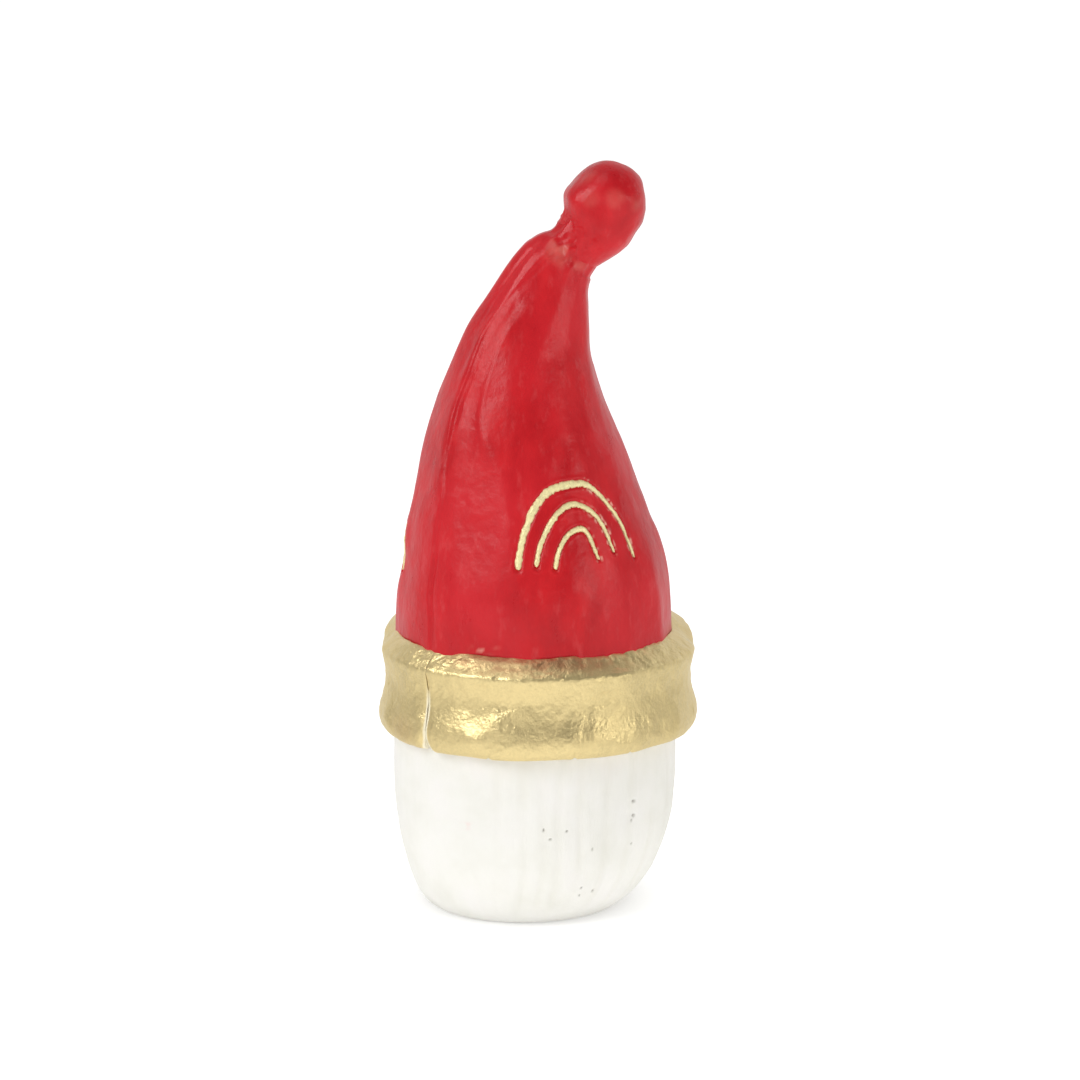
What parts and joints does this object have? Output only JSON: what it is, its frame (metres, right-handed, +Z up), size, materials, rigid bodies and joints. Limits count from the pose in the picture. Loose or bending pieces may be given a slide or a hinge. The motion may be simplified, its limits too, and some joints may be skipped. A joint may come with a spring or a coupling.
{
  "type": "garden gnome",
  "caption": "Hand-built ceramic gnome ornament: a tall leaning red hat with a bobble, gold cuff and gold line rainbows over a white fluted beard. It stands on its flat base.",
  "frame": {"origin": "on the ground, at the middle of the flat foot, under the middle of the hat's cuff", "axes": "+Z up, -Y the way the gnome faces (its nose), +X the gnome's left side; the hat's tip leans forward and to the gnome's right"},
  "size_m": [0.0633, 0.0656, 0.1499],
  "materials": {
    "white_clay": "matte",
    "nose_clay": "satin",
    "red_paint": "gloss",
    "gold_paint": "metallic satin"
  },
  "bodies": {
    "root": {"beard_body": "white_clay", "nose": "nose_clay", "hat_cone": "red_paint", "hat_cuff": "gold_paint", "hat_bobble": "red_paint", "rainbow_front_outer": "gold_paint", "rainbow_front_middle": "gold_paint", "rainbow_front_inner": "gold_paint", "rainbow_left_outer": "gold_paint", "rainbow_left_middle": "gold_paint", "rainbow_left_inner": "gold_paint", "rainbow_right_outer": "gold_paint", "rainbow_right_middle": "gold_paint", "rainbow_right_inner": "gold_paint"}
  },
  "joints": []
}
